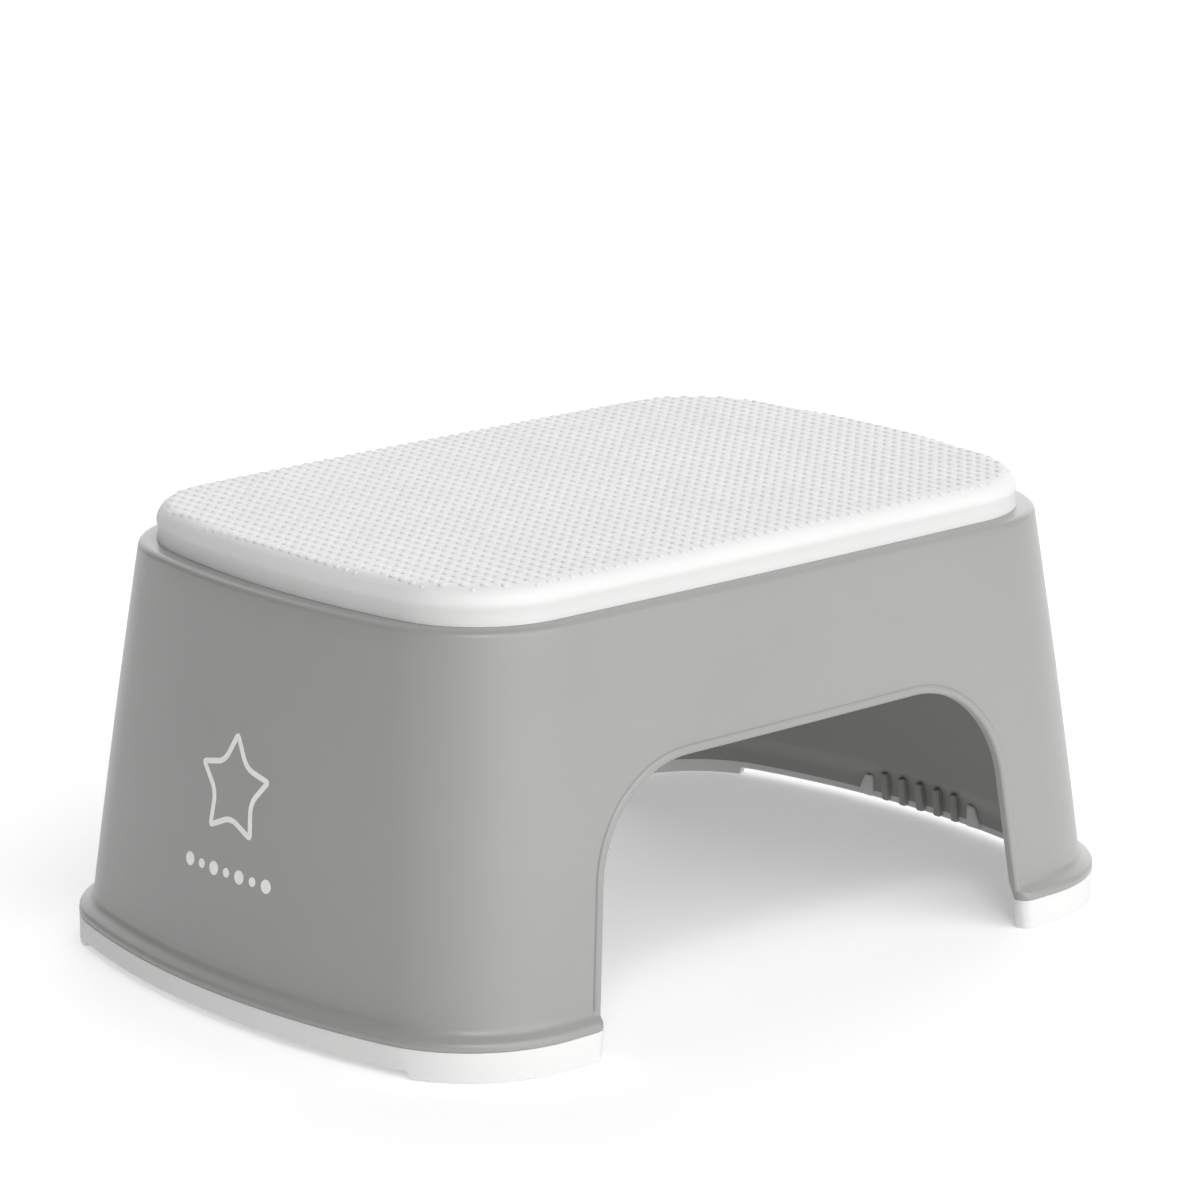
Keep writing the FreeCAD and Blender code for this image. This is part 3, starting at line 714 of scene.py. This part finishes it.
def make_bumps(material):
    """The field of non-slip bumps, running on a little way over the mat's rounded edge."""
    template = bump_template()
    bm = bmesh.new()
    half_x, half_y = int(MAT.length / BUMP_PITCH_X) + 1, int(MAT.width / BUMP_PITCH_Y) + 1
    for column in range(-half_x, half_x + 1):
        for row in range(-half_y, half_y + 1):
            x, y = (column + 0.5) * BUMP_PITCH_X, (row + 0.5) * BUMP_PITCH_Y
            inset, outward = inside_outline(MAT, x, y)
            if inset < BUMP_MARGIN:
                continue
            tilt = math.asin(max(MAT_ROUND - inset, 0) / MAT_ROUND)
            level = MAT_TOP - MAT_ROUND * (1 - math.cos(tilt))
            turned = Matrix.Rotation(tilt, 4, Vector((-outward.y, outward.x, 0)))
            size = min(BUMP_SMALLEST + (inset - BUMP_MARGIN) / BUMP_FADE, 1)
            stamp = template.copy()
            stamp.transform(Matrix.Translation((x, y, level)) @ turned @ Matrix.Scale(size, 4))
            bm.from_mesh(stamp)
            bpy.data.meshes.remove(stamp)
    bpy.data.meshes.remove(template)
    return make_piece(bm, "tread_mat_bumps", material, "soft_white", merge=0.001 * MM,
                      sharp=math.radians(70))


# ---------------------------------------------------------------- the strips


# how far out along Y the feet start; between them a strip is lifted by FOOT_LIFT
FOOT_START = 94 * MM
# how much of the corner the step up from a foot takes
LIFT_RUN = 0.012
FOOT_ROUND = 0.9 * MM
STRIP_EDGE = 0.35 * MM
# how far the middle of a quarter round lies inside the corner it rounds, as a share of its radius
ROUND_MIDDLE = 0.3
# what a strip keeps of its thickness where the corner beside an arch is rounded
STRIP_LEAST_THICK = 0.2 * MM
# how far the shell's rim is sunk in its seat in the strip
SEAT_SUNK = 0.02 * MM
WING_TIP = BASE.length - 8.2 * MM
WING_ROOT = BASE.length - 5.0 * MM
WING_FROM = 26.5 * MM
WING_WIDTH = 8 * MM
WING_BOTTOM = FOOT_LIFT + 0.4 * MM
WING_LEVEL = 12 * MM
WING_ROUND = 0.6 * MM
# how much of its width a wing's slanting side takes off its top
WING_SLANT = 0.55


def strip_section(bottom, covers_rim=False):
    """(inset, level) round a strip's section, starting at its outer foot."""
    seat = STRIP_TOP if covers_rim else RIM_LEVEL + SEAT_SUNK
    foot_middle, edge_middle = FOOT_ROUND * ROUND_MIDDLE, STRIP_EDGE * ROUND_MIDDLE
    return [
        (FOOT_ROUND, bottom), (foot_middle, bottom + foot_middle), (0, bottom + FOOT_ROUND),
        (0, STRIP_TOP - STRIP_EDGE), (edge_middle, STRIP_TOP - edge_middle), (STRIP_EDGE, STRIP_TOP),
        (RIM_INSET, STRIP_TOP), (RIM_INSET, seat), (RIM_INNER_INSET, seat),
        (RIM_INNER_INSET, bottom + FOOT_ROUND / 2), (RIM_INNER_INSET - FOOT_ROUND / 2, bottom),
    ]


def strip_edge_x(level):
    """X at which a strip ends at an arch."""
    return arch_edge(ARCH_FOOT, level)[0]


def make_strip(material, side, side_x, node):
    """The soft strip round one end: feet beside the arches, lifted between them, wings by the ribs."""
    bm = bmesh.new()
    x_of_corner = outline_at(BASE, 1)[0].x
    # columns told by their distance from the arch, with a step at END_COVER, then by their place
    from_edges = [step * MM for step in (0, 0.15, 0.5, 0.79, 0.81, 1.9, 3.0, 4.4)]
    columns = [("end", from_edge) for from_edge in from_edges] + [("place", 0.93), ("place", 0.97)]
    step_place = next(p for p in spread(1, 2, 400) if outline_at(BASE, p)[0].y < FOOT_START)
    corner = sorted(spread(1, 2, CORNER_STEPS) + [step_place, step_place + LIFT_RUN])
    columns += [("place", place) for place in corner + spread(2, 3, END_STEPS)[1:]]
    around = [(*column, -1) for column in columns] + [(*column, 1) for column in reversed(columns[:-1])]

    def point(column, row):
        kind, value, side_y = around[column]
        lifted = kind == "place" and value > step_place
        section = strip_section(FOOT_LIFT if lifted else 0, kind == "end" and value < END_COVER)
        inset, level = section[row % len(section)]
        place = value
        if kind == "end":
            inset = max(inset, min(corner_drop(value), RIM_INNER_INSET - STRIP_LEAST_THICK))
            place = (strip_edge_x(level) + value) / x_of_corner
        on_line, outward = outline_at(BASE, place)
        flat = on_line - outward * inset
        return Vector((side_x * flat.x, side_y * flat.y, level))

    sheet(bm, len(around), len(strip_section(0)) + 1, point)
    bmesh.ops.remove_doubles(bm, verts=bm.verts, dist=0.005 * MM)
    fill_open_edges(bm)
    for side_y in (-1, 1):
        middle, wing = add_block(bm, Vector((side_x * WING_TIP, side_y * WING_FROM, WING_BOTTOM)),
                                 Vector((side_x * WING_ROOT, side_y * (WING_FROM + WING_WIDTH), WING_LEVEL)))
        far = [v for v in wing if v.co.z > middle.z and abs(v.co.y) > abs(middle.y)]
        bmesh.ops.translate(bm, vec=(0, -side_y * WING_WIDTH * WING_SLANT, 0), verts=far)
        round_edges(bm, edges_of(wing), WING_ROUND)
    return make_piece(bm, "base_strip_skin_" + side, material, "soft_white", node, merge=0.002 * MM)


# ---------------------------------------------------------------- the printed motif


PRINT_THICK = 0.12 * MM
PRINT_SUNK = 0.1 * MM
# edges longer than this are cut, so that the print follows the wall
PRINT_LONGEST_EDGE = 2 * MM
STAR_LEVEL = 82 * MM
STAR_OUTER = 21 * MM
STAR_INNER = 11.5 * MM
STAR_POINT_ROUND = 3 * MM
LINE_WIDTH = 2.0 * MM
DOTS_LEVEL = 52 * MM
DOT_COUNT = 7
DOT_PITCH = 7.2 * MM
# large and small dots take turns
DOT_RADII = (2.5 * MM, 1.7 * MM)


def on_end_wall(y, level, proud):
    """A point of the wall at the end with X below 0."""
    low, high = outline_at(WALL_FOOT, 2)[0].y, outline_at(SHOULDER, 2)[0].y
    reach = low + (high - low) * rise_at(level)
    return wall_point(3 - abs(y) / reach, level, proud, -1, math.copysign(1, y))


def make_print(material):
    """A plain five-pointed star with rounded points over a row of dots."""
    bm = bmesh.new()
    star = bmesh.ops.create_circle(bm, cap_ends=True, segments=10, radius=STAR_OUTER)["verts"]
    inner = [v for n, v in enumerate(star) if n % 2]
    bmesh.ops.scale(bm, vec=(STAR_INNER / STAR_OUTER,) * 3, verts=inner)
    bmesh.ops.bevel(bm, geom=star, offset=STAR_POINT_ROUND, segments=4, affect="VERTICES", profile=0.5,
                    material=-1)
    middle = bmesh.ops.inset_region(bm, faces=bm.faces[:], thickness=LINE_WIDTH, use_boundary=True,
                                    use_even_offset=True)
    outline = set(middle["faces"])
    bmesh.ops.delete(bm, geom=[face for face in bm.faces if face not in outline], context="FACES")
    bmesh.ops.translate(bm, vec=(0, STAR_LEVEL, 0), verts=bm.verts)
    for n in range(DOT_COUNT):
        place = Matrix.Translation(((n - (DOT_COUNT - 1) / 2) * DOT_PITCH, DOTS_LEVEL, 0))
        bmesh.ops.create_circle(bm, cap_ends=True, segments=16, radius=DOT_RADII[n % 2], matrix=place)
    long_edges = [edge for edge in bm.edges if edge.calc_length() > PRINT_LONGEST_EDGE]
    bmesh.ops.subdivide_edges(bm, edges=long_edges, cuts=3)
    bmesh.ops.triangulate(bm, faces=bm.faces[:])
    lifted = bmesh.ops.extrude_face_region(bm, geom=bm.faces[:])["geom"]
    top = {item for item in lifted if isinstance(item, bmesh.types.BMVert)}
    for vertex in bm.verts:
        proud = PRINT_THICK if vertex in top else -PRINT_SUNK
        vertex.co = on_end_wall(vertex.co.x, vertex.co.y, proud)
    return make_piece(bm, "printed_star", material, None, merge=0.001 * MM)


# ---------------------------------------------------------------- floor, light and camera


# each soft light's turn from the front, lift off the floor and half width, in degrees, and its strength
Softbox = namedtuple("Softbox", "turn lift half_width strength")
KEY = Softbox(0, 34, 56, 2.6)
BACKDROP = Softbox(138, 18, 60, 2.0)
SPARKLE = Softbox(-40, 50, 8, 18)
FILL_STRENGTH = 0.02
FLOOR_GREY = 0.74
FLOOR_GLOW = 0.36
# half the floor's side in metres, and how far it lies below the feet
FLOOR_REACH = 40
FLOOR_DROP = 0.05 * MM
# the camera's turn and lift in degrees, what it looks at, how far off it is, and its lens and film width
CAMERA_TURN = -41.7
CAMERA_LIFT = 14.8
CAMERA_AIM = Vector((8, 5, 118)) * MM
CAMERA_DISTANCE = 1790 * MM
CAMERA_LENS = 145
CAMERA_FILM = 36


def aimed(turn, lift):
    """The way from the stool to something turned from the front (-Y) towards +X and lifted, in degrees."""
    turn, lift = math.radians(turn), math.radians(lift)
    return Vector((math.sin(turn) * math.cos(lift), -math.cos(turn) * math.cos(lift), math.sin(lift)))


def make_floor():
    """A plain pale floor, lit faintly from below like a light table."""
    mesh = bpy.data.meshes.new("floor")
    bm = bmesh.new()
    bmesh.ops.create_grid(bm, x_segments=1, y_segments=1, size=FLOOR_REACH)
    bmesh.ops.translate(bm, vec=(0, 0, -FLOOR_DROP), verts=bm.verts)
    bm.to_mesh(mesh)
    bm.free()
    material, _, _, shader = new_material("pale_floor")
    shader.inputs["Base Color"].default_value = (FLOOR_GREY, FLOOR_GREY, FLOOR_GREY, 1)
    shader.inputs["Emission Color"].default_value = (1, 1, 1, 1)
    shader.inputs["Emission Strength"].default_value = FLOOR_GLOW
    shader.inputs["Roughness"].default_value = 0.8
    shader.inputs["Specular IOR Level"].default_value = 0.1
    mesh.materials.append(material)
    floor = bpy.data.objects.new("floor", mesh)
    bpy.context.scene.collection.objects.link(floor)


def softbox_glow(nodes, links, light):
    """How bright a soft light is in each direction: full at its middle, nothing from its edge outwards."""
    where = nodes.new("ShaderNodeTexCoord")
    facing = nodes.new("ShaderNodeVectorMath")
    facing.operation = "DOT_PRODUCT"
    facing.inputs[1].default_value = aimed(light.turn, light.lift)
    links.new(where.outputs["Generated"], facing.inputs[0])
    fade = nodes.new("ShaderNodeMapRange")
    fade.interpolation_type = "SMOOTHSTEP"
    fade.inputs["From Min"].default_value = math.cos(math.radians(light.half_width))
    fade.inputs["To Max"].default_value = light.strength
    links.new(facing.outputs["Value"], fade.inputs["Value"])
    return fade.outputs["Result"]


def make_studio():
    """Soft lights in an otherwise dim, even room."""
    world = bpy.data.worlds.new("studio")
    bpy.context.scene.world = world
    world.use_nodes = True
    nodes, links = world.node_tree.nodes, world.node_tree.links
    nodes["Background"].inputs["Color"].default_value = (1, 1, 1, 1)
    total = None
    for light in (KEY, BACKDROP, SPARKLE):
        add = nodes.new("ShaderNodeMath")
        links.new(softbox_glow(nodes, links, light), add.inputs[0])
        if total:
            links.new(total, add.inputs[1])
        else:
            add.inputs[1].default_value = FILL_STRENGTH
        total = add.outputs["Value"]
    links.new(total, nodes["Background"].inputs["Strength"])
    bpy.context.scene.view_settings.view_transform = "Standard"


def make_camera():
    """A long lens that looks straight at its aim."""
    camera = bpy.data.cameras.new("camera")
    camera.lens = CAMERA_LENS
    camera.sensor_width = CAMERA_FILM
    viewer = bpy.data.objects.new("camera", camera)
    back = aimed(CAMERA_TURN, CAMERA_LIFT)
    viewer.location = CAMERA_AIM + back * CAMERA_DISTANCE
    viewer.rotation_mode = "QUATERNION"
    viewer.rotation_quaternion = back.to_track_quat("Z", "Y")
    bpy.context.scene.collection.objects.link(viewer)
    bpy.context.scene.camera = viewer


make_camera()
make_studio()
make_floor()
GREY = moulded_plastic()
WHITE = soft_rubber("soft_white_rubber", (0.71, 0.71, 0.705))
INK = print_ink()
make_shell(GREY)
make_tread_ribs(GREY)
make_mat(WHITE)
make_bumps(WHITE)
make_print(INK)
for side, side_x in (("left", -1), ("right", 1)):
    make_grip_ribs(GREY, side, side_x)
    make_strip(WHITE, side, side_x, "base_strip_" + side)
